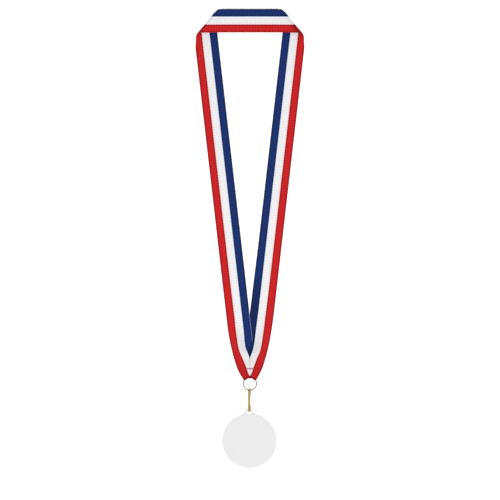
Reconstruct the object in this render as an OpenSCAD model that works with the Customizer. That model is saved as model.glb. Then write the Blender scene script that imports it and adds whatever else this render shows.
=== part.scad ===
// A blank medal on a neck ribbon, laid flat on its back.
// +Y points from the medal to the top of the loop and +Z up from the surface.
// The origin is on the surface, at the middle of the outline.

/* [Ribbon] */
// Overall length, from the ribbon's top edge to the medal's lowest point
overall_l = 428.4; // [426:0.2:430]
// Width of the woven ribbon
ribbon_w = 21.4; // [21:0.1:21.8]
// Thickness of the ribbon
cloth = 1; // [0.9:0.05:1.1]
// Distance between the two corner folds along the middle of the top strip
corner_w = 85.45; // [84.5:0.05:86]
// Lean of each arm from upright, in degrees
lean = 6.55; // [6.45:0.01:6.6]
// Straight length of each arm, from its corner fold to where it bends into the V
arm_l = 283.6; // [281:0.1:285]

/* [Corner folds] */
// Half the height that the fold stands at the ribbon's outer edge
fold_outer_r = 3.2; // [3:0.05:3.4]
// Half the height that the fold stands at the ribbon's inner edge
fold_inner_r = 1.75; // [1.7:0.05:2]
// How far the fold bulges out past its crease
fold_bulge = 1.3; // [1.2:0.05:1.4]
// Cloth that each fold gathers up on either side of its crease
fold_tuck = 0.95; // [0.8:0.05:1.1]
// How far the ribbon's inner edge draws in at each fold
fold_nick = 1.1; // [0.9:0.05:1.3]
// Height of the top strip's middle above the surface
strip_rise = 3.4; // [3.2:0.1:4]

/* [V] */
// Radius of the sweep of the outer edges into the V
sweep_r = 200; // [190:1:210]
// Lean of the outer edges where the sweep ends, in degrees
sweep_end = 17.5; // [17:0.1:18]
// Cloth of each half round the ring, from its outer edge to the centre seam
nip_w = 6.6; // [6.2:0.1:6.8]
// Cloth that the centre seam takes in for each mm of its height
seam_rate = 0.43; // [0.42:0.01:0.45]
// Height of the arch in each half beside the top of the seam
arch_h = 3.2; // [2.5:0.1:3.5]

/* [Ring] */
// Diameter of the ring, measured to the middle of its wire
ring_d = 12.4; // [12:0.1:12.8]
// Diameter of the ring's wire
wire_d = 1; // [0.9:0.05:1.1]

/* [Clip] */
// Length of the clip over both eyes
clip_l = 21.4; // [21:0.1:21.6]
// Width of the clip's strip
clip_w = 1.8; // [1.7:0.05:1.9]
// Thickness of the clip's strip
clip_t = 0.45; // [0.4:0.05:0.5]
// Bend radius of the clip's eyes, to the middle of the strip
eye_r = 1.6; // [1.6:0.05:1.7]
// Lean of the clip onto its left side, in degrees
clip_lean = 14; // [13:1:15]

/* [Medal] */
// Diameter of the medal
medal_d = 51; // [50:0.5:52]
// Thickness of the medal
medal_t = 3; // [2.9:0.1:3.2]
// Radius of the medal's rounded edges
medal_edge_r = 0.5; // [0.3:0.1:0.7]
// Radius of the tab's rounded sides, about the middle of its hole
tab_r = 4; // [3.8:0.1:4.2]
// Metal between the hole and the tab's flat end
tab_rim = 1; // [0.9:0.1:1.2]
// Thickness of the tab
tab_t = 1.1; // [1:0.05:1.2]
// Diameter of the hole in the tab
hole_d = 4.4; // [4.3:0.1:4.5]

/* [Hidden] */

// Gap between layers of cloth, and between the cloth and the wire
lay_gap = 0.12;
wire_gap = 0.15;
layer = cloth + lay_gap;
cloth_z = cloth / 2;

// Places along the centre line, worked up from the medal
hang_x = -0.5;
medal_y = medal_d / 2 - overall_l / 2;
hole_y = medal_y + medal_d / 2 + 0.65;
clip_end_y = hole_y + 1.1;
clip_top_y = clip_end_y + clip_l;
ring_y = clip_top_y - clip_t - 0.35 - wire_d / 2 + ring_d / 2;
nip_y = ring_y + ring_d / 2;
strip_y = overall_l / 2 - ribbon_w / 2;

// The ring lies in the ribbon's bottom fold and in the middle of the clip's upper eye
wire_z = cloth + wire_gap + wire_d / 2;
wrap_r = wire_d / 2 + wire_gap + cloth / 2;
clip_lift = clip_w / 2 * sin(clip_lean);
eye_z = clip_t / 2 + eye_r;
ring_tilt = atan2(clip_lift + eye_z * cos(clip_lean) - wire_z, ring_d);

// Number of rows of points in each stretch of the ribbon
fold_rows = 20;
arm_rows = 8;
sweep_rows = 15;
nip_rows = 7;
wrap_rows = 8;
column_share = [0, 0.12, 0.24, 0.35, 0.47, 0.59, 0.71, 0.86, 1];

// Smooth step from 0 to 1
function ease(x) = let(u = min(1, max(0, x))) u * u * (3 - 2 * u);
function mix(a, b, t) = a + (b - a) * t;

// The ribbon is worked out for one half, with x the distance out from the centre line.
// Each row goes across the ribbon from its outer edge, and v is the width from that edge.

// Directions in one half: up the arm, out across the arm, along the crease and on past the crease
up_arm = [sin(lean), cos(lean)];
out_arm = [cos(lean), -sin(lean)];
crease_a = 45 + lean / 2;
along_crease = [-cos(crease_a), sin(crease_a)];
past_crease = [sin(crease_a), cos(crease_a)];
corner = [corner_w / 2, strip_y];

// Runs over which the strip comes to its resting height and the cloth takes the tuck and the nick in
sag_run = 20;
tuck_run = 9;
nick_run = 4;
crease_half = ribbon_w / 2 / cos(crease_a - lean);
fold_r = (fold_outer_r + fold_inner_r) / 2;
fold_fall = (fold_outer_r - fold_inner_r) / 2 / crease_half;

// Half the cloth in the bend, which is half an oval of height 2 r and depth fold_bulge
function bend_half(r) = PI / 2 * sqrt((r * r + fold_bulge * fold_bulge) / 2);

// The ribbon laid straight on past the corner, folded over along the crease
function folded(a, v) =
    let(
        flat = a * up_arm + (ribbon_w / 2 - v) * out_arm,
        q = flat * along_crease,
        d = flat * past_crease,
        r = min(fold_outer_r, max(fold_inner_r, fold_r - fold_fall * q)),
        half = bend_half(r),
        turn = min(180, max(0, 90 * (d - fold_tuck + half) / half)),
        foot = fold_tuck - half,
        nick = fold_nick * ease(1 - (ribbon_w - v) / nick_run),
        past = d < foot ? d - (2 * fold_tuck + nick) * ease((d - foot) / tuck_run + 1)
            : d > fold_tuck + half ? -d - nick * ease(1 - (d - half - fold_tuck) / nick_run)
            : fold_bulge * sin(turn) - half - fold_tuck - nick,
        lift = r * (1 - cos(turn)),
        sag = ease((d - half - fold_tuck) / sag_run),
        at = corner + q * along_crease + past * past_crease
    )
    [at[0], at[1], mix(cloth_z + lift, strip_rise, sag)];

// Rows of the corner: [distance along the ribbon from the corner, share of the crease's slant]
fold_span = 1.1 * (bend_half(fold_outer_r) + fold_tuck) / cos(crease_a - lean);
fan_l = 26;
fan_steps = 5;
crease_slant = tan(crease_a - lean);
corner_rows = concat(
    [for (k = [0:fan_steps - 1]) [-fold_span - fan_l * (1 - k / fan_steps), k / fan_steps]],
    [for (k = [0:fold_rows]) [fold_span * (2 * k / fold_rows - 1), 1]],
    [for (k = [fan_steps - 1:-1:0]) [fold_span + fan_l * (1 - k / fan_steps), k / fan_steps]],
    [[corner_w / 2, 0]]
);
function corner_row(row) = [
    for (share = column_share)
        let(v = share * ribbon_w)
        folded(row[0] - row[1] * crease_slant * (ribbon_w / 2 - v), v)
];

// The outer edge below the arm: an arc of sweep_r, then an arc that ends on the ring's wire
edge_start = corner - arm_l * up_arm + ribbon_w / 2 * out_arm;
function arc_down(from, r, lean_a, lean_b) =
    from + r * [cos(lean_b) - cos(lean_a), sin(lean_a) - sin(lean_b)];
sweep_foot = arc_down(edge_start, sweep_r, lean, sweep_end);
nip_a = 58;
nip_corner = [ring_d / 2 * sin(nip_a), ring_y + ring_d / 2 * cos(nip_a)];
nip_chord = sweep_foot - nip_corner;
nip_turn = atan2(nip_chord[0], nip_chord[1]) - sweep_end;
nip_r = norm(nip_chord) / 2 / sin(nip_turn);

// The arch in each half and the levels of the layers, by height above the ring's wire
arch_w = 15;
arch_peak = 28;
arch_up = 26;
arch_down = 12;
seam_top = 31;
seam_closed = 24;
function arch(h) =
    let(run = h > arch_peak ? arch_up : arch_down)
    arch_h * pow(cos(90 * min(1, abs(h - arch_peak) / run)), 2);
function base_z(h) =
    cloth_z + layer * ease((48 - h) / 32) + (wire_z + wrap_r - cloth_z - layer) * ease((14 - h) / 14);
function lap(h, over) = over * layer * ease((h - 18) / 6) * ease((110 - h) / 50);

// One row across the ribbon, from its edge point towards a point on the centre line.
// Below seam_top the seam takes the inner part of the ribbon in, so less of it reaches the row.
seam_gap = 0.3;
function plan_w(v, shrink, bow_w) = v < bow_w ? v * shrink : bow_w * shrink + v - bow_w;
function front_row(edge, axis_y, round_share, over) =
    let(
        axis = [0, axis_y],
        h = axis_y - nip_y,
        reach = norm(axis - edge),
        seam_v = nip_w + seam_rate * h,
        bow_w = min(arch_w, 0.9 * seam_v),
        shrink = 1 - pow(PI * arch(h) / bow_w, 2) / 4,
        open_v = reach + bow_w * (1 - shrink),
        axis_v = min(open_v, seam_v),
        scale = reach / plan_w(axis_v, shrink, bow_w),
        past = h > seam_top ? 1 : ease((h - seam_closed) / (seam_top - seam_closed)),
        inner_v = min(ribbon_w, axis_v + past * max(0, ribbon_w - axis_v))
    )
    [
        for (share = column_share)
            let(
                v = share * inner_v,
                t = plan_w(v, shrink, bow_w) * scale / reach,
                at = mix(edge, axis, t) + round_share * (ring_arc(t) - mix(ring_arc(0), ring_arc(1), t)),
                z = base_z(h) + lap(h, over) * ease(v / bow_w)
                    + arch(h) * pow(sin(180 * min(1, v / bow_w)), 2)
            )
            [h < seam_closed ? max(at[0], seam_gap / 2) : at[0], at[1], z]
    ];
function ring_arc(t) = [ring_d / 2 * sin(nip_a * (1 - t)), ring_y + ring_d / 2 * cos(nip_a * (1 - t))];

// Straight arm, from the V up to the first row of the corner
edge_end = corner + corner_rows[0][0] * up_arm + ribbon_w / 2 * out_arm;
function arm_row(k, over) =
    let(edge = mix(edge_start, edge_end, pow(k / arm_rows, 1.6)))
    front_row(edge, edge[1] + edge[0] * tan(lean), 0, over);

// Sweep, k = 0 at its foot
function sweep_row(k, over) =
    let(
        a = mix(sweep_end, lean, k / sweep_rows),
        edge = arc_down(edge_start, sweep_r, lean, a)
    )
    front_row(edge, edge[1] + edge[0] * tan(a), 0, over);

// Nip, k = 0 on the ring's wire
sweep_foot_axis_y = sweep_foot[1] + sweep_foot[0] * tan(sweep_end);
function nip_row(k, over) =
    let(
        share = k / nip_rows,
        edge = arc_down(sweep_foot, nip_r, sweep_end, sweep_end + 2 * nip_turn * (1 - share))
    )
    front_row(edge, mix(nip_y, sweep_foot_axis_y, share), pow(1 - share, 2), over);

// Bend round the ring's wire, k = 0 behind it, drawn in by corner_pull at its corners
corner_pull = 7;
function wrap_row(k) =
    let(turn = 180 * (1 - k / wrap_rows), r = ring_d / 2 - wrap_r * sin(turn))
    [
        for (share = column_share)
            let(a = (nip_a - corner_pull * sin(turn)) * (1 - share))
            [max(r * sin(a), seam_gap / 2), ring_y + r * cos(a), wire_z + wrap_r * cos(turn)]
    ];

// End of the ribbon stitched behind the V, k = 0 on the ring's wire
tail_inset = 0.8;
function tail_row(k) = [
    for (p = nip_row(k, 0)) [max(p[0] - tail_inset * ease(k / 3), seam_gap / 2), p[1], cloth_z]
];

function half_band(over) = concat(
    [for (k = [nip_rows:-1:1]) tail_row(k)],
    [for (k = [0:wrap_rows - 1]) wrap_row(k)],
    [for (k = [0:nip_rows - 1]) nip_row(k, over)],
    [for (k = [0:sweep_rows]) sweep_row(k, over)],
    [for (k = [1:arm_rows - 1]) arm_row(k, over)],
    [for (row = corner_rows) corner_row(row)]
);
function mirrored(rows) = [for (row = rows) [for (p = row) [-p[0], p[1], p[2]]]];

// The left half lies over the right one at the top of the V
left_half = mirrored(half_band(1));
right_half = half_band(0);
band = concat(left_half, [for (i = [len(right_half) - 2:-1:0]) right_half[i]]);

// A sheet of points given its thickness: the face points, then the back points, then the edges
module thick_sheet(rows, t) {
    m = len(rows);
    n = len(rows[0]);
    normals = [
        for (i = [0:m - 1]) [
            for (j = [0:n - 1])
                let(
                    down = rows[min(i + 1, m - 1)][j] - rows[max(i - 1, 0)][j],
                    across = rows[i][min(j + 1, n - 1)] - rows[i][max(j - 1, 0)],
                    c = cross(across, down)
                )
                c / norm(c)
        ]
    ];
    face_points = [for (i = [0:m - 1]) for (j = [0:n - 1]) rows[i][j] + normals[i][j] * t / 2];
    back_points = [for (i = [0:m - 1]) for (j = [0:n - 1]) rows[i][j] - normals[i][j] * t / 2];
    b = m * n;
    cells = [for (i = [0:m - 2]) for (j = [0:n - 2]) i * n + j];
    polyhedron(
        points = concat(face_points, back_points),
        faces = concat(
            [for (c = cells) [c, c + 1, c + n + 1]],
            [for (c = cells) [c, c + n + 1, c + n]],
            [for (c = cells) [b + c, b + c + n + 1, b + c + 1]],
            [for (c = cells) [b + c, b + c + n, b + c + n + 1]],
            [for (i = [0:m - 2]) let(c = i * n) [c, c + n, b + c + n]],
            [for (i = [0:m - 2]) let(c = i * n) [c, b + c + n, b + c]],
            [for (i = [0:m - 2]) let(c = i * n + n - 1) [c, b + c + n, c + n]],
            [for (i = [0:m - 2]) let(c = i * n + n - 1) [c, b + c, b + c + n]],
            [for (c = [0:n - 2]) [c, b + c, b + c + 1]],
            [for (c = [0:n - 2]) [c, b + c + 1, c + 1]],
            [for (j = [0:n - 2]) let(c = (m - 1) * n + j) [c, b + c + 1, b + c]],
            [for (j = [0:n - 2]) let(c = (m - 1) * n + j) [c, c + 1, b + c + 1]]
        )
    );
}

module ribbon() {
    color("firebrick") thick_sheet(band, cloth);
}

// Jump ring, with its cut inside the ribbon's fold
module ring() {
    cut_a = 3;
    color("silver")
    translate([0, nip_y, wire_z])
    rotate([-ring_tilt, 0, 0])
    translate([0, -ring_d / 2, 0])
    rotate([0, 0, 90 + cut_a / 2])
    rotate_extrude(angle = 360 - cut_a)
    translate([ring_d / 2, 0])
    circle(d = wire_d);
}

// Points of an arc from angle a to angle b, in steps of about 10 degrees
function arc_points(centre, r, a, b) =
    let(n = ceil(abs(b - a) / 10))
    [for (k = [0:n]) let(t = mix(a, b, k / n)) centre + r * [cos(t), sin(t)]];

// Outline of a strip that follows a path
function strip_outline(path, t) =
    let(
        n = len(path),
        sides = [
            for (i = [0:n - 1])
                let(d = path[min(i + 1, n - 1)] - path[max(i - 1, 0)])
                t / 2 / norm(d) * [-d[1], d[0]]
        ]
    )
    concat([for (i = [0:n - 1]) path[i] + sides[i]], [for (i = [n - 1:-1:0]) path[i] - sides[i]]);

// The clip's side view: the straight strand, an eye at each end, and the two ends that spring together
module clip_side() {
    top_eye = [clip_top_y - clip_t / 2 - eye_r, eye_z];
    end_eye = [clip_end_y + clip_t / 2 + eye_r, eye_z];
    front_tip = [mix(clip_end_y, clip_top_y, 0.5), 3.1 * clip_t];
    tongue_tip = [mix(clip_end_y, clip_top_y, 0.64), 1.9 * clip_t];
    front_a = slope_to(top_eye - front_tip);
    tongue_knee = [mix(clip_end_y, clip_top_y, 0.46), 1.9 * clip_t];
    tongue_a = slope_to([tongue_knee[0] - end_eye[0], end_eye[1] - tongue_knee[1]]);
    path = concat(
        [front_tip],
        arc_points(top_eye, eye_r, 90 + front_a, -90),
        arc_points(end_eye, eye_r, -90, -270 - tongue_a),
        [tongue_knee, tongue_tip]
    );
    polygon(strip_outline(path, clip_t));
}

// Slope of the line that leaves a point and touches an eye whose middle is away from it
function slope_to(away) = atan2(away[1], away[0]) + asin(eye_r / norm(away));

// Turned about the middle of its eyes, so that the straight strand lies on top
module clip() {
    color("goldenrod")
    translate([hang_x, 0, clip_lift + eye_z * cos(clip_lean)])
    rotate([0, 180 - clip_lean, 0])
    translate([0, 0, -eye_z])
    rotate([90, 0, 90])
    translate([0, 0, -clip_w / 2])
    linear_extrude(clip_w)
    clip_side();
}

// Half of the disc's section, with rounded edges
module medal_section() {
    flat_r = medal_d / 2 - medal_edge_r;
    square([flat_r, medal_t]);
    translate([0, medal_edge_r]) square([medal_d / 2, medal_t - 2 * medal_edge_r]);
    for (z = [medal_edge_r, medal_t - medal_edge_r])
        translate([flat_r, z]) circle(medal_edge_r);
}

// Round end of the tab and its flared foot on the disc
module tab_outline() {
    foot_w = 13;
    foot_y = sqrt(pow(medal_d / 2, 2) - pow(foot_w / 2, 2)) - 1;
    rise = hole_y - medal_y;
    translate([0, rise])
        intersection() {
            circle(tab_r);
            translate([-tab_r, -tab_r]) square([2 * tab_r, tab_r + hole_d / 2 + tab_rim]);
        }
    polygon([[-tab_r, rise], [tab_r, rise], [foot_w / 2, foot_y + 1], [foot_w / 2, foot_y],
        [-foot_w / 2, foot_y], [-foot_w / 2, foot_y + 1]]);
}

module medal() {
    tab_z = clip_lift + eye_z * cos(clip_lean) - tab_t / 2;
    color("whitesmoke")
    translate([hang_x, medal_y, 0])
    difference() {
        union() {
            rotate_extrude() medal_section();
            translate([0, 0, tab_z]) linear_extrude(tab_t) tab_outline();
        }
        translate([0, hole_y - medal_y, -1]) cylinder(h = medal_t + 2, d = hole_d, $fn = 64);
    }
}

ribbon();
ring();
clip();
medal();
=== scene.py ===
import math

import bpy
import numpy as np
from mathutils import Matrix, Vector


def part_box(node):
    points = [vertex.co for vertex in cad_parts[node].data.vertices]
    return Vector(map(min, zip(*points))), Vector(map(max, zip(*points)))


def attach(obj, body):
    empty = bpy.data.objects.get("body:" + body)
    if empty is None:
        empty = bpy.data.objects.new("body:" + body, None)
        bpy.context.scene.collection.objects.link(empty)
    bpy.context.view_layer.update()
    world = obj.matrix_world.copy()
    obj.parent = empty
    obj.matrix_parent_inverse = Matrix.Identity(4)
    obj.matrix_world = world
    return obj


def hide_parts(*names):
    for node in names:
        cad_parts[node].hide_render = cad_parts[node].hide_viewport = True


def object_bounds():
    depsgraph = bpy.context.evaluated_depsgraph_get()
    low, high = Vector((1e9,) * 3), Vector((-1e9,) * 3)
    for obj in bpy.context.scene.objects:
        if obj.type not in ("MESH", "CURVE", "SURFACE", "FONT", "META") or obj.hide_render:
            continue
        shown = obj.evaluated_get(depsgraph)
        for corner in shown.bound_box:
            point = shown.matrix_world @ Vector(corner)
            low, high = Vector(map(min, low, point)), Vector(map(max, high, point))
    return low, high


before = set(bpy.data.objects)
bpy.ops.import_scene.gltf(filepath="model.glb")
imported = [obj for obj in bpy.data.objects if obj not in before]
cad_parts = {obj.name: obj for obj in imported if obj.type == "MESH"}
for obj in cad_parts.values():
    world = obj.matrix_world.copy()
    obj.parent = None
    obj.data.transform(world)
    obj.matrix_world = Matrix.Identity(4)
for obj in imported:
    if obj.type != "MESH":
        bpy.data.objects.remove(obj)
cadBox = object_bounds()
scene = bpy.context.scene
mm = 0.001


def addObject(name, mesh):
    obj = bpy.data.objects.new(name, mesh)
    scene.collection.objects.link(obj)
    return obj


# Camera: straight above, framed as the photo is
cameraLook = {
    "height": 1.5,
    "across": 0.4675,
    "aimX": 0.00006,
    "aimY": -0.01045,
    "sensor": 36.0,
    "nearest": 0.05,
}

cameraData = bpy.data.cameras.new("camera")
cameraData.lens = cameraLook["sensor"] * cameraLook["height"] / cameraLook["across"]
cameraData.sensor_width = cameraLook["sensor"]
cameraData.clip_start = cameraLook["nearest"]
cameraObject = addObject("camera", cameraData)
cameraObject.location = (cameraLook["aimX"], cameraLook["aimY"], cameraLook["height"])
scene.camera = cameraObject


# Node helpers
def newMaterial(name):
    mat = bpy.data.materials.new(name)
    mat.use_nodes = True
    mat.node_tree.nodes.clear()
    out = mat.node_tree.nodes.new("ShaderNodeOutputMaterial")
    shader = mat.node_tree.nodes.new("ShaderNodeBsdfPrincipled")
    mat.node_tree.links.new(shader.outputs[0], out.inputs[0])
    return mat, mat.node_tree, shader


def put(tree, kind, values=None, **settings):
    node = tree.nodes.new(kind)
    for key, value in settings.items():
        setattr(node, key, value)
    for key, value in (values or {}).items():
        if hasattr(value, "links"):
            tree.links.new(value, node.inputs[key])
        else:
            node.inputs[key].default_value = value
    return node


def calc(tree, operation, a, b=0.0, c=0.0):
    return put(tree, "ShaderNodeMath", {0: a, 1: b, 2: c}, operation=operation).outputs[0]


# A soft step from one value to another
def span(tree, value, low, high, toLow, toHigh):
    values = {0: value, 1: low, 2: high, 3: toLow, 4: toHigh}
    return put(tree, "ShaderNodeMapRange", values, interpolation_type="SMOOTHSTEP").outputs[0]


# A Mix node's colours are its inputs 6 and 7 and its output 2
def blendColours(tree, factor, a, b):
    node = put(tree, "ShaderNodeMix", {0: factor, 6: a, 7: b}, data_type="RGBA")
    return node.outputs[2]


def scaled(tree, vector, factor):
    return put(tree, "ShaderNodeVectorMath", {0: vector, "Scale": factor}, operation="SCALE").outputs[0]


def total(tree, value, *others):
    for other in others:
        value = calc(tree, "ADD", value, other)
    return value


def product(tree, value, *others):
    for other in others:
        value = calc(tree, "MULTIPLY", value, other)
    return value


# 1 between two soft steps, 0 outside them
def zone(tree, value, rise, full, ebb, gone):
    return product(tree, span(tree, value, rise, full, 0.0, 1.0), span(tree, value, ebb, gone, 1.0, 0.0))


def addSockets(tree, names, kind, side="INPUT"):
    for name in names:
        tree.interface.new_socket(name, in_out=side, socket_type=kind)


# A Geometry Nodes tree with named inputs for its sizes, and its own inputs and outputs
def startTree(name, sizes, counts=()):
    tree = bpy.data.node_groups.new(name, "GeometryNodeTree")
    addSockets(tree, ["Geometry"], "NodeSocketGeometry")
    addSockets(tree, sizes, "NodeSocketFloat")
    addSockets(tree, counts, "NodeSocketInt")
    addSockets(tree, ["Material"], "NodeSocketMaterial")
    addSockets(tree, ["Geometry"], "NodeSocketGeometry", "OUTPUT")
    return tree, tree.nodes.new("NodeGroupInput").outputs, tree.nodes.new("NodeGroupOutput").inputs


def endTree(tree, geometry, inputs, outputs):
    real = put(tree, "GeometryNodeRealizeInstances", {"Geometry": geometry}).outputs[0]
    done = put(tree, "GeometryNodeSetMaterial", {"Geometry": real, "Material": inputs["Material"]})
    tree.links.new(done.outputs[0], outputs["Geometry"])


# Handling marks: soft blotches in the gloss and a fine grain, for the ring, clip and medal
handlingShape = {
    "grainDetail": 3.0,
    "grainDepth": 0.1 * mm,
    "blotch": {"Scale": 90.0, "Detail": 4.0},
    "tone": (0.3, 0.7, 0.0, 1.0),
}


def buildHandlingGroup(shape):
    group = bpy.data.node_groups.new("handlingMarks", "ShaderNodeTree")
    addSockets(group, ("Grain Size", "Stretch", "Base Roughness", "Spread"), "NodeSocketFloat")
    addSockets(group, ("Roughness", "Height", "Tone"), "NodeSocketFloat", "OUTPUT")
    inputs = group.nodes.new("NodeGroupInput")
    outputs = group.nodes.new("NodeGroupOutput")
    place = put(group, "ShaderNodeTexCoord").outputs["Object"]
    stretch = put(group, "ShaderNodeCombineXYZ", {0: 1.0, 1: inputs.outputs["Stretch"], 2: 1.0}).outputs[0]
    stretched = put(group, "ShaderNodeVectorMath", {0: place, 1: stretch}, operation="MULTIPLY").outputs[0]
    grainScale = calc(group, "DIVIDE", 1 / mm, inputs.outputs["Grain Size"])
    grainValues = {"Vector": stretched, "Scale": grainScale, "Detail": shape["grainDetail"]}
    grain = put(group, "ShaderNodeTexNoise", grainValues).outputs[0]
    blotch = put(group, "ShaderNodeTexNoise", {"Vector": place, **shape["blotch"]}).outputs[0]
    offset = product(group, calc(group, "SUBTRACT", blotch, 0.5), inputs.outputs["Spread"])
    rough = total(group, inputs.outputs["Base Roughness"], offset)
    tone = span(group, blotch, *shape["tone"])
    for socket, value in (("Roughness", rough), ("Height", grain), ("Tone", tone)):
        group.links.new(value, outputs.inputs[socket])
    return group


handlingMarks = buildHandlingGroup(handlingShape)


def markedSurface(name, look):
    mat, tree, shader = newMaterial(name)
    marks = put(tree, "ShaderNodeGroup", node_tree=handlingMarks)
    sockets = {"grain": "Grain Size", "stretch": "Stretch", "roughness": "Base Roughness", "spread": "Spread"}
    for key, socket in sockets.items():
        marks.inputs[socket].default_value = look[key]
    colour = blendColours(tree, marks.outputs["Tone"], (*look["dark"], 1), (*look["light"], 1))
    depth = handlingShape["grainDepth"]
    bumpValues = {"Height": marks.outputs["Height"], "Strength": look["bump"], "Distance": depth}
    bump = put(tree, "ShaderNodeBump", bumpValues)
    tree.links.new(colour, shader.inputs["Base Color"])
    tree.links.new(marks.outputs["Roughness"], shader.inputs["Roughness"])
    tree.links.new(bump.outputs[0], shader.inputs["Normal"])
    shader.inputs["Metallic"].default_value = look["metallic"]
    return mat


# Ribbon: a woven band worked out for one half at a time, with x the distance out from the centre line.
# Lengths are in mm and angles in degrees, and places up the V are measured from the ring's wire.
# A swell is its size, where it rises and over what run, and where it ends and over what run.
ribbonShape = {
    "width": 21.4,
    "cloth": 0.6,
    "flatShare": 0.42,
    "edgeShare": 0.3,
    "bulgeShare": 0.2,
    "topInset": -0.05,
    "cornerWidth": 85.45,
    "lean": 6.55,
    "armLength": 283.6,
    "cornerLead": 45.0,
    "foldOuter": 3.2,
    "foldInner": 1.75,
    "foldBulge": 1.3,
    "foldTuck": 0.95,
    "foldNick": 0.45,
    "tuckRun": 9.0,
    "nickRun": 3.2,
    "stripRise": 3.4,
    "sagRun": 20.0,
    "endDrop": 0.2,
    "endBlend": 6.0,
    "sweepRadius": 200.0,
    "sweepEnd": 17.5,
    "nipWidth": 6.6,
    "seamRate": 0.43,
    "archHeight": 3.2,
    "archWidth": 15.0,
    "archShare": 0.9,
    "archPeak": 28.0,
    "archUp": 26.0,
    "archDown": 12.0,
    "seamTop": 31.0,
    "seamClosed": 24.0,
    "seamGap": 0.02,
    "layerGap": 0.12,
    "layerTop": 48.0,
    "layerRun": 32.0,
    "nipRun": 14.0,
    "lap": (18.0, 6.0, 110.0, 50.0),  # a swell one layer high
    "overSpread": (0.35, 26.0, 8.0, 50.0, 14.0),
    "underSpread": (0.45, 40.0, 15.0, 130.0, 60.0),
    "spreadFrom": 14.4,
    "rightPull": (0.32, -3.0, 7.0, 64.0, 28.0),
    "ringWire": 1.0,
    "wireGap": 0.15,
    "nipAngle": 58.0,
    "cornerPull": 7.0,
    "foldDip": (0.3, 0.75, 0.6),  # place, width and depth
    "tailInset": 0.8,
    "tailTaper": 2.3,
    "tailLift": 0.4,
    "leftCrease": (0.42, 2.0),  # darkness and run
    "rightCrease": (0.62, 3.6),
    "armCrease": 0.4,
    # Painted light on the arm just below the raised strip
    "paintedLiftUnderStrip": (0.2, 7.0),  # gain and reach
    "turnShade": (0.1, 40.0, 20.0),  # darkness, top and run
    "nipShade": (0.45, 2.0),
    "wrapShade": 0.42,
    "ribPitch": 1.45,
    "ribDepth": 0.06,
    "ribUnevenness": 0.5,
    "ribNoise": {"Scale": 0.9, "Detail": 1.0},
    "outerLoops": {"depth": 0.13, "foot": 0.5},
    "innerLoops": {"depth": 0.24, "foot": -0.85},
    "loopHeight": 2.0,
    "innerFree": ((0.35, 36.0, 6.0), (0.65, 72.0, 33.0)),  # shares, with place and run
    "columns": 13,
    "rowsPerRib": 6,
}


def ease(x):
    u = np.clip(x, 0, 1)
    return u * u * (3 - 2 * u)


def mix(a, b, t):
    return a + (b - a) * t


def swell(at, size, riseAt, riseRun, endAt, endRun):
    return size * ease((at - riseAt) / riseRun) * ease((endAt - at) / endRun)


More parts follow.
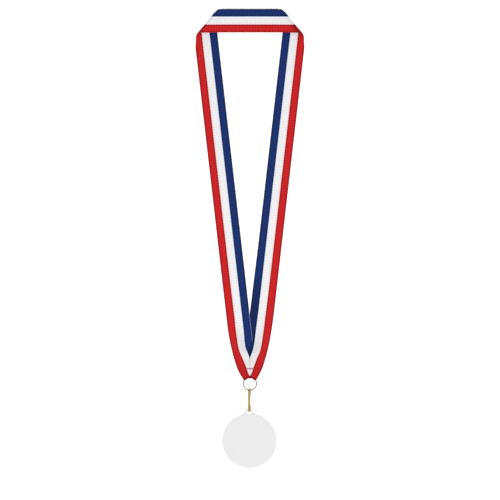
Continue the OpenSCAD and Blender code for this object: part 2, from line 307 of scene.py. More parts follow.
class RibbonHalf:
    # The ring's place comes from its own CAD node
    def __init__(self, shape, over):
        self.s = shape
        self.over = over
        ringLow, ringHigh = (np.array(corner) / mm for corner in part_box("ring"))
        stripTop = cadBox[1][1] / mm - shape["topInset"]
        wire = shape["ringWire"] / 2
        self.wireZ = ringLow[2] + wire
        self.ringR = (ringHigh[0] - ringLow[0]) / 2 - wire
        self.nipY = ringHigh[1] - wire
        self.ringY = self.nipY - self.ringR
        self.wrapR = wire + shape["wireGap"] + shape["cloth"] / 2
        self.layer = shape["cloth"] + shape["layerGap"]
        self.clothZ = shape["cloth"] / 2 + shape["ribDepth"]
        lean = math.radians(shape["lean"])
        self.lean = lean
        self.upArm = np.array([math.sin(lean), math.cos(lean)])
        self.outArm = np.array([math.cos(lean), -math.sin(lean)])
        crease = math.radians(45) + lean / 2
        self.alongCrease = np.array([-math.cos(crease), math.sin(crease)])
        self.pastCrease = np.array([math.sin(crease), math.cos(crease)])
        self.corner = np.array([shape["cornerWidth"] / 2, stripTop - shape["width"] / 2])
        creaseHalf = shape["width"] / 2 / math.cos(crease - lean)
        self.foldR = (shape["foldOuter"] + shape["foldInner"]) / 2
        self.foldFall = (shape["foldOuter"] - shape["foldInner"]) / 2 / creaseHalf
        self.edgeStart = self.corner - shape["armLength"] * self.upArm + shape["width"] / 2 * self.outArm
        self.sweepEnd = math.radians(shape["sweepEnd"])
        self.sweepFoot = self.arcDown(self.edgeStart, shape["sweepRadius"], lean, self.sweepEnd)
        self.nipA = math.radians(shape["nipAngle"])
        chord = self.sweepFoot - self.ringArc(0.0)
        self.nipTurn = math.atan2(chord[0], chord[1]) - self.sweepEnd
        self.nipR = math.hypot(*chord) / 2 / math.sin(self.nipTurn)
        self.footAxisY = self.sweepFoot[1] + self.sweepFoot[0] * math.tan(self.sweepEnd)
        self.shares = np.linspace(0, 1, shape["columns"])

    def arcDown(self, start, r, a, b):
        return start + r * np.array([math.cos(b) - math.cos(a), math.sin(a) - math.sin(b)])

    def ringArc(self, t):
        a = self.nipA * (1 - np.asarray(t, float))
        return np.stack([self.ringR * np.sin(a), self.ringY + self.ringR * np.cos(a)], -1)

    # Laid straight on past the corner and folded over along the crease; the stripes stay straight in plan
    def foldedRow(self, a):
        s = self.s
        v = self.shares * s["width"]
        tuck = s["foldTuck"]
        flat = a * self.upArm + np.multiply.outer(s["width"] / 2 - v, self.outArm)
        q = flat @ self.alongCrease
        d = flat @ self.pastCrease
        r = np.clip(self.foldR - self.foldFall * q, s["foldInner"], s["foldOuter"])
        half = math.pi / 2 * np.sqrt((r * r + s["foldBulge"] ** 2) / 2)
        turn = np.clip((d - tuck + half) / half / 2 * math.pi, 0, math.pi)
        foot = tuck - half
        nick = s["foldNick"] * ease(1 - (s["width"] - v) / s["nickRun"])
        bend = s["foldBulge"] * np.sin(turn) - half - tuck
        below = d - (2 * tuck + nick) * ease((d - foot) / s["tuckRun"] + 1)
        above = -d - nick * ease(1 - (d - half - tuck) / s["nickRun"])
        past = np.where(d < foot, below, np.where(d > tuck + half, above, bend - nick))
        sag = ease((d - half - tuck) / s["sagRun"])
        at = self.corner + np.multiply.outer(q, self.alongCrease) + np.multiply.outer(past, self.pastCrease)
        z = mix(self.clothZ + r * (1 - np.cos(turn)), s["stripRise"], sag)
        # The strip's raised ends would look too high from the camera, all but the top edge
        laid = ease(turn / math.pi * 2 - 1) * ease((s["width"] - v) / s["endBlend"])
        at[:, 1] -= s["endDrop"] * laid * np.maximum(z - s["stripRise"], 0)
        drift = mix(d - past, past + d, ease(turn / math.pi * 2))
        deep, run = s["leftCrease"] if self.over else s["rightCrease"]
        inside = s["foldBulge"] - half - tuck - past
        strength = deep * mix(s["armCrease"], 1, ease((d - foot) / half / 2))
        shade = 1 - strength * np.exp(-(inside / run) ** 2)
        # Painted light: the arm just below the raised strip is lightened, lifting the shade that falls under
        # the strip
        gain, reach = s["paintedLiftUnderStrip"]
        belowStrip = self.corner[1] - s["width"] / 2 - at[:, 1]
        shade = shade * (1 + gain * (d < foot) * ease(1 - belowStrip / reach))
        return np.column_stack([at, z]), v + self.pastCrease[1] * drift, shade

    def arch(self, h):
        s = self.s
        run = s["archUp"] if h > s["archPeak"] else s["archDown"]
        u = min(1, abs(h - s["archPeak"]) / run)
        return s["archHeight"] * math.cos(math.pi / 2 * u) ** 2

    # Across the V, from the outer edge to the centre line; the seam takes in what doesn't fit
    def frontRow(self, edge, axisY, roundShare):
        s = self.s
        if not self.over:
            edge = edge - np.array([swell(edge[1] - self.nipY, *s["rightPull"]), 0.0])
        h = axisY - self.nipY
        axis = np.array([0.0, axisY])
        reach = math.hypot(*(axis - edge))
        seamV = s["nipWidth"] + s["seamRate"] * h
        bowW = min(s["archWidth"], s["archShare"] * seamV)
        shrink = 1 - (math.pi * self.arch(h) / bowW) ** 2 / 4
        axisV = min(reach + bowW * (1 - shrink), seamV)
        scale = reach / (axisV * shrink if axisV < bowW else bowW * shrink + axisV - bowW)
        past = ease((h - s["seamClosed"]) / (s["seamTop"] - s["seamClosed"]))
        innerV = min(s["width"], axisV + past * max(0, s["width"] - axisV))
        v = self.shares * innerV
        t = np.where(v < bowW, v * shrink, bowW * shrink + v - bowW) * scale / reach
        at = edge + np.multiply.outer(t, axis - edge)
        if roundShare:
            straight = mix(self.ringArc(0.0), self.ringArc(1.0), t[:, None])
            at = at + roundShare * (self.ringArc(np.clip(t, 0, 1)) - straight)
        spread = swell(h, *s["overSpread" if self.over else "underSpread"])
        fan = ease((v - s["spreadFrom"]) / (s["width"] - s["spreadFrom"]))
        at += np.multiply.outer(spread * fan, (axis - edge) / reach)
        if h < s["seamClosed"]:
            at[:, 0] = np.maximum(at[:, 0], s["seamGap"] / 2)
        base = self.clothZ + self.layer * ease((s["layerTop"] - h) / s["layerRun"])
        base += (self.wireZ + self.wrapR - self.clothZ - self.layer) * ease((s["nipRun"] - h) / s["nipRun"])
        lap = swell(h, self.over * self.layer, *s["lap"])
        z = base + lap * ease(v / bowW) + self.arch(h) * np.sin(math.pi * np.minimum(1, v / bowW)) ** 2
        turnDark, turnTop, turnRun = s["turnShade"]
        nipDark, nipTop = s["nipShade"]
        shade = 1 - turnDark * ease((turnTop - h) / turnRun) - nipDark * ease((nipTop - h) / nipTop)
        return np.column_stack([at, z]), v, np.full(len(v), shade)

    # The band's stages, with rows at shares from 0 to 1: out of the fold, the sweep, the arm, the corner
    def nipRow(self, share):
        turned = self.sweepEnd + 2 * self.nipTurn * (1 - share)
        edge = self.arcDown(self.sweepFoot, self.nipR, self.sweepEnd, turned)
        return self.frontRow(edge, mix(self.nipY, self.footAxisY, share), (1 - share) ** 2)

    def sweepRow(self, share):
        a = mix(self.sweepEnd, self.lean, share)
        edge = self.arcDown(self.edgeStart, self.s["sweepRadius"], self.lean, a)
        return self.frontRow(edge, edge[1] + edge[0] * math.tan(a), 0)

    def armRow(self, share):
        edge = self.edgeStart + share * (self.s["armLength"] - self.s["cornerLead"]) * self.upArm
        return self.frontRow(edge, edge[1] + edge[0] * math.tan(self.lean), 0)

    def cornerRow(self, share):
        return self.foldedRow(mix(-self.s["cornerLead"], self.s["cornerWidth"] / 2, share))

    # Round the ring's wire; in the half that lies under, the fold dips beside the seam
    def wrapRow(self, share):
        s = self.s
        turn = math.pi * (1 - share)
        a = (self.nipA - math.radians(s["cornerPull"]) * math.sin(turn)) * (1 - self.shares)
        dipAt, dipWidth, dip = s["foldDip"]
        dip = 0 if self.over else dip * np.exp(-((self.ringR * np.sin(a) - dipAt) / dipWidth) ** 2)
        r = self.ringR - (self.wrapR + dip) * math.sin(turn)
        x = np.maximum(r * np.sin(a), s["seamGap"] / 2)
        z = np.full(len(a), self.wireZ + self.wrapR * math.cos(turn))
        at = np.column_stack([x, self.ringY + r * np.cos(a), z])
        return at, self.shares * s["nipWidth"], np.full(len(a), s["wrapShade"])

    # The hidden tail runs behind the front's rows, a little narrower and flat on its back
    def tailRow(self, share):
        s = self.s
        front, v, shade = self.nipRow(1 - share)
        front[:, 0] *= 1 - s["tailInset"] * ease((1 - share) * s["tailTaper"]) / front[0, 0]
        front[:, 0] = np.maximum(front[:, 0], s["seamGap"] / 2)
        lift = ease((share - s["tailLift"]) / (1 - s["tailLift"]))
        front[:, 2] = mix(self.clothZ, self.wireZ - self.wrapR, lift)
        return front, v, shade

    # Rows at an even spacing along the middle of the band, each stage sampled in a number of steps
    def rows(self):
        stages = [
            (self.tailRow, 40),
            (self.wrapRow, 30),
            (self.nipRow, 60),
            (self.sweepRow, 80),
            (self.armRow, 60),
            (self.cornerRow, 160),
        ]
        params, middles = [], []
        for i, (stage, n) in enumerate(stages):
            for k in range(n + (i == len(stages) - 1)):
                params.append(i + k / n)
                middles.append(stage(k / n)[0].mean(0))
        lengths = np.concatenate([[0], np.cumsum(np.linalg.norm(np.diff(middles, axis=0), axis=1))])
        count = round(lengths[-1] / self.s["ribPitch"]) * self.s["rowsPerRib"]
        targets = np.linspace(0, lengths[-1], count + 1)
        wanted = np.interp(targets, lengths, params)
        out = []
        for p in wanted:
            i = min(int(p), len(stages) - 1)
            stage = stages[i][0]
            out.append(stage(p - i))
        points, across, shade = (np.array(part) for part in zip(*out))
        return points, across, shade, targets - targets[-1]


leftHalf = RibbonHalf(ribbonShape, over=1)
rightHalf = RibbonHalf(ribbonShape, over=0)
leftPoints, leftAcross, leftShade, leftAlong = leftHalf.rows()
rightPoints, rightAcross, rightShade, rightAlong = rightHalf.rows()
leftPoints = leftPoints * [-1, 1, 1]
bandPoints = np.concatenate([leftPoints, rightPoints[-2::-1]])
bandAcross = np.concatenate([leftAcross, rightAcross[-2::-1]])
bandShade = np.concatenate([leftShade, rightShade[-2::-1]])
bandAlong = np.concatenate([leftAlong, -rightAlong[-2::-1]])


# The inner edge's loops stand out freely along the arms, and are pressed in where the arms meet and cross
innerHeight = bandPoints[:, -1, 1] - leftHalf.nipY
innerFree = sum(share * ease((innerHeight - low) / run) for share, low, run in ribbonShape["innerFree"])


# The band's skin: front, a rounded selvedge, back and the other selvedge, closed at both ends
def bandMesh(name, points, across, shade, along, free, shape):
    rows, cols = points.shape[:2]
    cloth = shape["cloth"]
    down = np.gradient(points, axis=0)
    over = np.gradient(points, axis=1)
    normal = np.cross(over, down)
    normal /= np.linalg.norm(normal, axis=2, keepdims=True)
    edgeOut = -over / np.linalg.norm(over, axis=2, keepdims=True)
    thick = np.full(cols, cloth * shape["flatShare"])
    thick[[0, -1]] = cloth * shape["edgeShare"]
    front = points + normal * thick[:, None]
    back = points - normal * thick[:, None]
    bulge = cloth * shape["bulgeShare"]
    startEdge = points[:, :1] + edgeOut[:, :1] * bulge
    endEdge = points[:, -1:] - edgeOut[:, -1:] * bulge
    ring = np.concatenate([front, endEdge, back[:, ::-1], startEdge], axis=1)
    ringAcross, ringShade = (
        np.concatenate([a, a[:, -1:], a[:, ::-1], a[:, :1]], axis=1) for a in (across, shade)
    )
    around = ring.shape[1]
    outward = np.zeros_like(ring)
    outward[:, [0, 2 * cols, 2 * cols + 1]] = edgeOut[:, :1]
    outward[:, [cols - 1, cols, cols + 1]] = -edgeOut[:, -1:] * free[:, None, None]
    index = np.arange(rows * around).reshape(rows, around)
    a = index[:-1]
    b = index[1:]
    quads = np.stack([a, np.roll(a, -1, 1), np.roll(b, -1, 1), b], -1).reshape(-1, 4)
    caps = []
    for row, flip in ((index[0], False), (index[-1], True)):
        frontSide = np.concatenate([[row[-1]], row[: cols + 1]])
        backSide = np.concatenate([[row[-1]], row[2 * cols : cols - 1 : -1]])
        for k in range(cols + 1):
            cap = [frontSide[k], backSide[k], backSide[k + 1], frontSide[k + 1]]
            cap = list(dict.fromkeys(int(c) for c in cap))
            caps.append(cap[::-1] if flip else cap)
    mesh = bpy.data.meshes.new(name)
    mesh.from_pydata((ring.reshape(-1, 3) * mm).tolist(), [], quads.tolist() + caps)
    mesh.update()
    ringAlong = np.repeat(along[:, None], around, 1)
    for key, values in (("across", ringAcross), ("shade", ringShade), ("along", ringAlong)):
        layer = mesh.attributes.new(key, "FLOAT", "POINT")
        layer.data.foreach_set("value", values.astype(np.float32).ravel())
    layer = mesh.attributes.new("outward", "FLOAT_VECTOR", "POINT")
    layer.data.foreach_set("vector", outward.astype(np.float32).ravel())
    mesh.polygons.foreach_set("use_smooth", np.ones(len(mesh.polygons), bool))
    return mesh


# Crosswise ribs: the skin swells and the selvedges loop out once in each rib
def buildRibsTree(shape):
    sizes = ("Rib Pitch", "Rib Depth", "Loop Depth", "Inner Loop Depth", "Unevenness")
    tree, inputs, outputs = startTree("crosswiseRibs", sizes)

    def attribute(name, kind):
        return put(tree, "GeometryNodeInputNamedAttribute", {"Name": name}, data_type=kind).outputs[0]

    turns = calc(tree, "DIVIDE", attribute("along", "FLOAT"), inputs["Rib Pitch"])
    wave = calc(tree, "COSINE", product(tree, turns, 2 * math.pi))
    noiseValues = {"W": turns, **shape["ribNoise"]}
    noise = put(tree, "ShaderNodeTexNoise", noiseValues, noise_dimensions="1D").outputs[0]
    uneven = total(tree, product(tree, calc(tree, "SUBTRACT", noise, 0.5), inputs["Unevenness"]), 1.0)
    normal = tree.nodes.new("GeometryNodeInputNormal").outputs[0]
    raised = scaled(tree, normal, product(tree, wave, uneven, inputs["Rib Depth"]))
    isInner = calc(tree, "GREATER_THAN", attribute("across", "FLOAT"), shape["width"] / 2)
    more = calc(tree, "SUBTRACT", inputs["Inner Loop Depth"], inputs["Loop Depth"])
    depth = product(tree, calc(tree, "MULTIPLY_ADD", isInner, more, inputs["Loop Depth"]), uneven)
    outerFoot, innerFoot = shape["outerLoops"]["foot"], shape["innerLoops"]["foot"]
    foot = calc(tree, "MULTIPLY_ADD", isInner, innerFoot - outerFoot, outerFoot)
    lobe = calc(tree, "ABSOLUTE", calc(tree, "COSINE", product(tree, turns, math.pi)))
    loops = product(tree, calc(tree, "MULTIPLY_ADD", lobe, shape["loopHeight"], foot), depth)
    looped = scaled(tree, attribute("outward", "FLOAT_VECTOR"), loops)
    offset = put(tree, "ShaderNodeVectorMath", {0: raised, 1: looped}, operation="ADD").outputs[0]
    moved = put(tree, "GeometryNodeSetPosition", {"Geometry": inputs["Geometry"], "Offset": offset})
    endTree(tree, moved.outputs[0], inputs, outputs)
    return tree


# Puts a tree on an object with its inputs set, and returns the result as a plain mesh piece
def grown(name, source, tree, values):
    mod = source.modifiers.new("grow", "NODES")
    mod.node_group = tree
    for item in tree.interface.items_tree:
        if item.item_type == "SOCKET" and item.in_out == "INPUT" and item.name in values:
            mod[item.identifier] = values[item.name]
    source.data.update()
    bpy.context.view_layer.update()
    evaluated = source.evaluated_get(bpy.context.evaluated_depsgraph_get())
    mesh = bpy.data.meshes.new_from_object(evaluated)
    source.modifiers.clear()
    bpy.data.objects.remove(source)
    mesh.name = name
    return addObject(name, mesh)


# Woven cloth: three stripes with darker yarns at their borders, and painted shade in the valleys between the
# ribs.
# Lengths are in mm: across from the outer edge, out from the centre line, up from the wire in the fold.
# A fade is where it starts and ends, and its values there; a zone is where it comes and where it goes.
wovenLook = {
    "red": (0.672, 0.0155, 0.0185),
    "white": (0.855, 0.85, 0.862),
    "blue": (0.0099, 0.0325, 0.169),
    "redTo": 7.06,
    "whiteTo": 14.28,
    "stripeEdge": (-0.06, 0.06, 0.0, 1.0),
    "stepDepth": 0.22,
    "stepOut": (1.0, 5.0, 0.0, 1.0),
    "stepUp": (26.0, 40.0, 0.0, 1.0),
    "borderTone": 0.58,
    "borderPast": 0.1,
    "borderRise": (-0.2, 0.6, 0.5, 1.0),
    "borderFall": (0.7, 2.0, 1.0, 0.0),
    "gatherRise": (1.0, 12.0, -0.95, 1.0),
    "gatherFall": (8.0, 95.0, 0.6, 0.0),
    "foldRed": (-0.4, 0.5, 0.45, 0.0),
    "trimZone": (12.0, 22.0, 44.0, 56.0),
    "leftTrim": 0.36,
    "rightTrim": 0.3,
    "slipZone": (22.0, 27.0, 28.0, 42.0),
    "rightSlip": 0.55,
    "stripWhite": (36.0, 50.0, 0.12, 0.0),
    "blueShade": (0.0, 1.0, 0.5, 1.0),
    # Painted shade on the blue under the left arm and at its tip in the seam
    "underArmShadeZone": (26.0, 34.0, 66.0, 96.0),
    "underArmShade": 0.66,
    "tipShadeTone": 0.25,
    "tipShadeOut": (0.3, 3.0, 1.0, 0.0),
    "tipShadeUp": (20.0, 33.0, 1.0, 0.0),
    "tipOut": (0.5, 4.0, 0.6, 0.0),
    "tipUp": (22.0, 30.0, 1.0, 0.0),
    # Painted highlight on the left arm's free selvedge
    "selvedge": (0.2, 0.245, 0.53),
    "selvedgeWidth": 0.55,
    "selvedgeBlur": 0.1,
    "selvedgeHighlightZone": (31.0, 37.0, 60.0, 64.0),
    "nearRed": (0.95, 0.755, 0.76),
    "nearBlue": (0.81, 0.845, 0.95),
    "bleed": (0.3, 2.0, 1.0, 0.0),
    "whiteShade": (0.0, 1.0, 0.86, 1.0),
    "seamOut": (0.1, 0.7, 0.18, 0.0),
    "seamUp": (20.0, 26.0, 1.0, 0.0),
    # Painted shade on the white low in the V
    "lowerShadeRise": (5.0, 14.0, 0.1, 1.0),
    "lowerShadeFall": (15.0, 60.0, 0.1, 0.0),
    # Painted shade in the valleys between the ribs
    "whiteValleyShade": 0.14,
    "dyedValleyShade": 0.36,
    "fuzz": {"Scale": 2.2, "Detail": 3.0},
    "fuzzTone": 0.16,
    "drift": {"Scale": 0.06, "Detail": 2.0},
    "driftTone": 0.08,
    "yarnPitch": 0.34,
    "yarnHeight": 0.5,
    "bump": {"Strength": 0.35, "Distance": 0.06 * mm},
    "roughness": 0.85,
    "roughSpread": 0.2,
    "gloss": 0.12,
}


def wovenMaterial(look, ribPitch):
    mat, tree, shader = newMaterial("wovenStripes")

    def attribute(name):
        return put(tree, "ShaderNodeAttribute", attribute_name=name).outputs["Fac"]

    def minus(a, b):
        return calc(tree, "SUBTRACT", a, b)

    def fade(value, key):
        return span(tree, value, *look[key])

    across, along, shade = attribute("across"), attribute("along"), attribute("shade")
    place = put(tree, "ShaderNodeCombineXYZ", {0: across, 1: along}).outputs[0]
    spot = put(tree, "ShaderNodeSeparateXYZ", {0: put(tree, "ShaderNodeTexCoord").outputs["Object"]}).outputs
    fromCentre = product(tree, calc(tree, "ABSOLUTE", spot[0]), 1 / mm)
    height = calc(tree, "MULTIPLY_ADD", spot[1], 1 / mm, -leftHalf.nipY)
    isRight = calc(tree, "GREATER_THAN", along, 0.0)
    fuzz = put(tree, "ShaderNodeTexNoise", {"Vector": place, **look["fuzz"]}).outputs[0]
    drift = put(tree, "ShaderNodeTexNoise", {"Vector": place, **look["drift"]}).outputs[0]

    # The borders between the stripes step in and out with the ribs, but not at the tip of the blue
    ribs = calc(tree, "COSINE", product(tree, along, 2 * math.pi / ribPitch))
    stepping = calc(tree, "MAXIMUM", fade(fromCentre, "stepOut"), fade(height, "stepUp"))
    nudged = calc(tree, "MULTIPLY_ADD", ribs, product(tree, stepping, look["stepDepth"]), across)

    # Tone that dips just inside either edge of a stripe
    def bordered(low, high):
        inside = calc(tree, "MINIMUM", minus(nudged, low), minus(high, nudged))
        dip = product(tree, fade(inside, "borderRise"), fade(inside, "borderFall"))
        return calc(tree, "MULTIPLY_ADD", dip, look["borderTone"] - 1, 1.0)

    # More of the red shows where the cloth is gathered towards the seam, and less where it turns out again
    gathered = product(tree, fade(height, "gatherRise"), fade(height, "gatherFall"))
    trim = calc(tree, "MULTIPLY_ADD", isRight, look["leftTrim"] - look["rightTrim"], -look["leftTrim"])
    trimmed = product(tree, zone(tree, height, *look["trimZone"]), trim)
    redTo = total(tree, gathered, fade(height, "foldRed"), trimmed, look["redTo"])
    slipped = product(tree, zone(tree, height, *look["slipZone"]), isRight, look["rightSlip"])
    whiteTo = total(tree, fade(calc(tree, "ABSOLUTE", along), "stripWhite"), slipped, look["whiteTo"])
    red = scaled(tree, look["red"], product(tree, bordered(-look["borderPast"], redTo), shade))

    # Painted shade on the blue: darker on the right arm, under the left one, and at its tip beside the seam
    width = ribbonShape["width"]
    under = product(tree, zone(tree, height, *look["underArmShadeZone"]), isRight, look["underArmShade"] - 1)
    seamTipShade = product(tree, fade(fromCentre, "tipShadeOut"), fade(height, "tipShadeUp"), look["tipShadeTone"] - 1)
    blueTone = product(tree, bordered(whiteTo, width + look["borderPast"]), fade(shade, "blueShade"))
    blue = scaled(tree, look["blue"], product(tree, blueTone, total(tree, under, seamTipShade, 1.0)))

    # Painted highlight: the left arm's selvedge is lightened where it stands free above the other arm
    edge = width - look["selvedgeWidth"]
    atEdge = span(tree, across, edge, edge + look["selvedgeBlur"], 0.0, 1.0)
    lit = product(tree, zone(tree, height, *look["selvedgeHighlightZone"]), atEdge, minus(1.0, isRight))
    blue = blendColours(tree, lit, blue, (*look["selvedge"], 1))

    # White takes a little dye from its neighbours, and shades less than they do. Painted shade darkens it low
    # in the V, and painted light lifts it just below the strip
    fromRed = minus(nudged, redTo)
    white = blendColours(tree, fade(fromRed, "bleed"), (*look["white"], 1), (*look["nearRed"], 1))
    white = blendColours(tree, fade(minus(whiteTo, nudged), "bleed"), white, (*look["nearBlue"], 1))
    seamLine = product(tree, fade(fromCentre, "seamOut"), fade(height, "seamUp"))
    lowerShade = product(tree, fade(height, "lowerShadeRise"), fade(height, "lowerShadeFall"))
    shaded = product(tree, fade(shade, "whiteShade"), calc(tree, "MAXIMUM", shade, 1.0))
    white = scaled(tree, white, minus(shaded, total(tree, seamLine, lowerShade)))

    # The stripes side by side; at the seam the blue comes down to a tip
    isWhite = fade(fromRed, "stripeEdge")
    tip = product(tree, fade(fromCentre, "tipOut"), fade(height, "tipUp"))
    isBlue = fade(total(tree, minus(nudged, whiteTo), tip), "stripeEdge")
    colour = blendColours(tree, isBlue, blendColours(tree, isWhite, red, white), blue)

    # Painted shade in the valleys between the ribs, stronger in the dyed yarns, and the whole cloth is a
    # little uneven
    undyed = product(tree, isWhite, minus(1.0, isBlue))
    shadeDifference = (look["whiteValleyShade"] - look["dyedValleyShade"]) / 2
    depth = calc(tree, "MULTIPLY_ADD", undyed, shadeDifference, look["dyedValleyShade"] / 2)
    valleyShade = product(tree, minus(1.0, ribs), depth)
    fine = product(tree, minus(fuzz, 0.5), look["fuzzTone"])
    slow = product(tree, minus(drift, 0.5), look["driftTone"])
    tone = total(tree, minus(1.0, valleyShade), fine, slow)
    tree.links.new(scaled(tree, colour, tone), shader.inputs["Base Color"])

    leastRough = look["roughness"] - look["roughSpread"] / 2
    rough = calc(tree, "MULTIPLY_ADD", fuzz, look["roughSpread"], leastRough)
    tree.links.new(rough, shader.inputs["Roughness"])
    yarns = calc(tree, "COSINE", product(tree, across, 2 * math.pi / look["yarnPitch"]))
    weave = calc(tree, "MULTIPLY_ADD", yarns, look["yarnHeight"], fuzz)
    bump = put(tree, "ShaderNodeBump", {"Height": weave, **look["bump"]})
    tree.links.new(bump.outputs[0], shader.inputs["Normal"])
    shader.inputs["Specular IOR Level"].default_value = look["gloss"]
    return mat


builtPitch = float(leftAlong[1] - leftAlong[0]) * ribbonShape["rowsPerRib"]
skinMesh = bandMesh("ribbonSkin", bandPoints, bandAcross, bandShade, bandAlong, innerFree, ribbonShape)
ribValues = {
    "Rib Pitch": builtPitch,
    "Rib Depth": ribbonShape["ribDepth"] * mm,
    "Loop Depth": ribbonShape["outerLoops"]["depth"] * mm,
    "Inner Loop Depth": ribbonShape["innerLoops"]["depth"] * mm,
    "Unevenness": ribbonShape["ribUnevenness"],
    "Material": wovenMaterial(wovenLook, builtPitch),
}
ribbon = grown("neckRibbon", addObject("ribbonSkin", skinMesh), buildRibsTree(ribbonShape), ribValues)
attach(ribbon, "root")
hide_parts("ribbon")
print("ribbon made", len(ribbon.data.polygons), "faces")


# Stitching: one row of thread across the V, through both halves, in mm.
# A loop of thread reaches half a loop to either side, and its ends sink into the cloth.
stitchShape = {
    "y": -121.35,
    "from": -2.75,
    "to": 2.55,
    "pathCount": 61,
    "pitch": 1.75,
    "thread": 0.74,
    "halfLoop": 0.54,  # in pitches
    "sink": 0.4,  # in threads
    "loopSteps": 8,
    "threadSides": 8,
    "smallest": (0.94, 0.9, 0.9),
    "largest": (1.04, 1.1, 1.1),
    "seed": 4,
    "nipShares": (0.2, 1.0, 60),
    "sweepShares": (0.02, 0.3, 20),
}


# Height of the middle of the cloth at a point of the V, between the rows that pass near it
def clothHeight(x, y):
    half = leftHalf if x < 0 else rightHalf
    rows = [half.nipRow(share)[0][::-1] for share in np.linspace(*stitchShape["nipShares"])]
    rows += [half.sweepRow(share)[0][::-1] for share in np.linspace(*stitchShape["sweepShares"])]
    found = np.array([[np.interp(abs(x), row[:, 0], row[:, k]) for k in (1, 2)] for row in rows])
    found = found[np.argsort(found[:, 0])]
    return float(np.interp(y, found[:, 0], found[:, 1]))


def buildStitchTree(shape):
    tree, inputs, outputs = startTree("stitchRow", ("Stitch Pitch", "Thread Width"), ("Seed",))
    width = inputs["Thread Width"]

    def point(x, z):
        return put(tree, "ShaderNodeCombineXYZ", {0: x, 2: z}).outputs[0]

    # One loop of thread, up from the cloth and down again
    half = product(tree, inputs["Stitch Pitch"], shape["halfLoop"])
    sunk = product(tree, width, -shape["sink"])
    ends = {"Start": point(product(tree, half, -1.0), sunk), "End": point(half, sunk)}
    loopValues = {"Resolution": shape["loopSteps"], "Middle": point(0.0, width), **ends}
    loop = put(tree, "GeometryNodeCurveQuadraticBezier", loopValues).outputs[0]
    roundValues = {"Resolution": shape["threadSides"], "Radius": product(tree, width, 0.5)}
    profile = put(tree, "GeometryNodeCurvePrimitiveCircle", roundValues).outputs[0]
    threadValues = {"Curve": loop, "Profile Curve": profile, "Fill Caps": True}
    thread = put(tree, "GeometryNodeCurveToMesh", threadValues).outputs[0]
    smooth = put(tree, "GeometryNodeSetShadeSmooth", {"Geometry": thread}).outputs[0]

    # A loop at each pitch along the path, no two quite alike
    path = put(tree, "GeometryNodeMeshToCurve", {"Mesh": inputs["Geometry"]}).outputs[0]
    spotValues = {"Curve": path, "Length": inputs["Stitch Pitch"]}
    spots = put(tree, "GeometryNodeResampleCurve", spotValues, mode="LENGTH").outputs[0]
    tangent = tree.nodes.new("GeometryNodeInputTangent").outputs[0]
    turn = put(tree, "FunctionNodeAlignRotationToVector", {"Vector": tangent}, axis="X").outputs[0]
    unlikeValues = {0: shape["smallest"], 1: shape["largest"], "Seed": inputs["Seed"]}
    unlike = put(tree, "FunctionNodeRandomValue", unlikeValues, data_type="FLOAT_VECTOR").outputs[0]
    rowValues = {"Points": spots, "Instance": smooth, "Rotation": turn, "Scale": unlike}
    row = put(tree, "GeometryNodeInstanceOnPoints", rowValues).outputs[0]
    endTree(tree, row, inputs, outputs)
    return tree


threadLook = {
    "colour": (0.47, 0.035, 0.13),
    "shadow": 0.6,
    "twist": {"Scale": 529.1, "Distortion": 1.5},
    "roughness": 0.5,
    "roughSpread": 0.15,
    "bump": {"Strength": 0.5, "Distance": 0.05 * mm},
}


def threadMaterial(look):
    mat, tree, shader = newMaterial("stitchThread")
    place = put(tree, "ShaderNodeTexCoord").outputs["Object"]
    twistValues = {"Vector": place, **look["twist"]}
    twist = put(tree, "ShaderNodeTexWave", twistValues, bands_direction="DIAGONAL").outputs["Fac"]
    dark = [c * look["shadow"] for c in look["colour"]]
    colour = blendColours(tree, twist, (*dark, 1), (*look["colour"], 1))
    tree.links.new(colour, shader.inputs["Base Color"])
    rough = calc(tree, "MULTIPLY_ADD", twist, look["roughSpread"], look["roughness"])
    tree.links.new(rough, shader.inputs["Roughness"])
    bump = put(tree, "ShaderNodeBump", {"Height": twist, **look["bump"]})
    tree.links.new(bump.outputs[0], shader.inputs["Normal"])
    return mat


stitchX = np.linspace(stitchShape["from"], stitchShape["to"], stitchShape["pathCount"])
stitchY = stitchShape["y"]
clothTop = ribbonShape["cloth"] * ribbonShape["flatShare"]
pathPoints = [(x * mm, stitchY * mm, (clothHeight(x, stitchY) + clothTop) * mm) for x in stitchX]
pathMesh = bpy.data.meshes.new("stitchPath")
pathMesh.from_pydata(pathPoints, [(k, k + 1) for k in range(len(pathPoints) - 1)], [])
stitchValues = {
    "Stitch Pitch": stitchShape["pitch"] * mm,
    "Thread Width": stitchShape["thread"] * mm,
    "Seed": stitchShape["seed"],
    "Material": threadMaterial(threadLook),
}
stitchTree = buildStitchTree(stitchShape)
stitching = grown("seamStitching", addObject("stitchPath", pathMesh), stitchTree, stitchValues)
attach(stitching, "root")
print("stitching made", len(stitching.data.polygons), "faces")


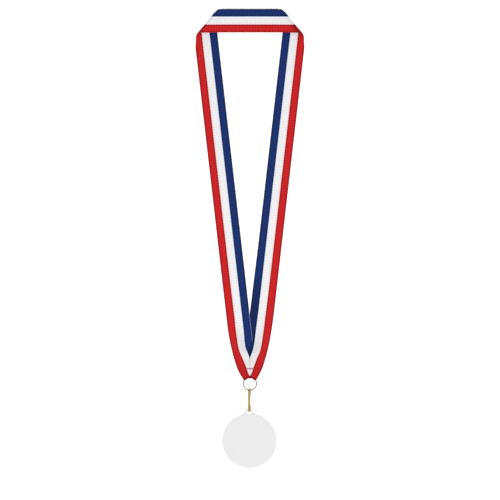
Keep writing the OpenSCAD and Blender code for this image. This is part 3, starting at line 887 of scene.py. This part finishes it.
# Ring, clip and medal keep their CAD shapes and get their finishes
ringLook = {
    "light": (0.31, 0.275, 0.215),
    "dark": (0.24, 0.205, 0.15),
    "grain": 0.15,
    "stretch": 1.0,
    "roughness": 0.3,
    "spread": 0.12,
    "bump": 0.15,
    "metallic": 1.0,
}
clipLook = {
    "light": (0.45, 0.34, 0.125),
    "dark": (0.37, 0.265, 0.09),
    "grain": 0.2,
    "stretch": 0.15,
    "roughness": 0.6,
    "spread": 0.14,
    "bump": 0.3,
    "metallic": 0.7,
}
medalLook = {
    "light": (0.72, 0.72, 0.72),
    "dark": (0.713, 0.713, 0.713),
    "grain": 0.1,
    "stretch": 1.0,
    "roughness": 0.5,
    "spread": 0.1,
    "bump": 0.08,
    "metallic": 0.0,
}


def finishNode(node, material, look):
    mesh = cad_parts[node].data
    mesh.materials.clear()
    mesh.materials.append(markedSurface(material, look))


finishNode("ring", "platedWire", ringLook)
finishNode("clip", "giltSpringStrip", clipLook)
finishNode("medal", "whiteCoating", medalLook)
print("finishes made")


# Floor and light, in metres and watts
stageLook = {
    "floor": (0.93, 0.93, 0.93),
    "floorReach": 3.0,
    "floorDrop": 0.05 * mm,
    "floorRoughness": 0.9,
    "glow": 0.42,
    "world": 0.72,
    "key": {"place": (-0.7, -1.5, 1.6), "size": 2.2, "power": 24.0},
    "fill": {"place": (1.4, -0.2, 1.8), "size": 2.6, "power": 12.0},
}

reach = stageLook["floorReach"]
floorMesh = bpy.data.meshes.new("floor")
floorCorners = [(-reach, -reach, 0), (reach, -reach, 0), (reach, reach, 0), (-reach, reach, 0)]
floorMesh.from_pydata(floorCorners, [], [(0, 1, 2, 3)])
floor = addObject("floor", floorMesh)
floor.location.z = -stageLook["floorDrop"]
floorMat, _, floorShader = newMaterial("paleFloor")
floorShader.inputs["Base Color"].default_value = (*stageLook["floor"], 1)
floorShader.inputs["Roughness"].default_value = stageLook["floorRoughness"]
floorShader.inputs["Emission Color"].default_value = (1, 1, 1, 1)
floorShader.inputs["Emission Strength"].default_value = stageLook["glow"]
floorMesh.materials.append(floorMat)

world = bpy.data.worlds.new("studio")
scene.world = world
world.use_nodes = True
background = world.node_tree.nodes["Background"]
background.inputs["Color"].default_value = (1, 1, 1, 1)
background.inputs["Strength"].default_value = stageLook["world"]


def softLight(name, place, size, power):
    data = bpy.data.lights.new(name, "AREA")
    data.shape = "DISK"
    data.size = size
    data.energy = power
    light = addObject(name, data)
    light.location = place
    light.rotation_euler = (-Vector(place)).to_track_quat("-Z", "Y").to_euler()


softLight("keyLight", **stageLook["key"])
softLight("fillLight", **stageLook["fill"])
scene.view_settings.view_transform = "Standard"
scene.view_settings.look = "None"
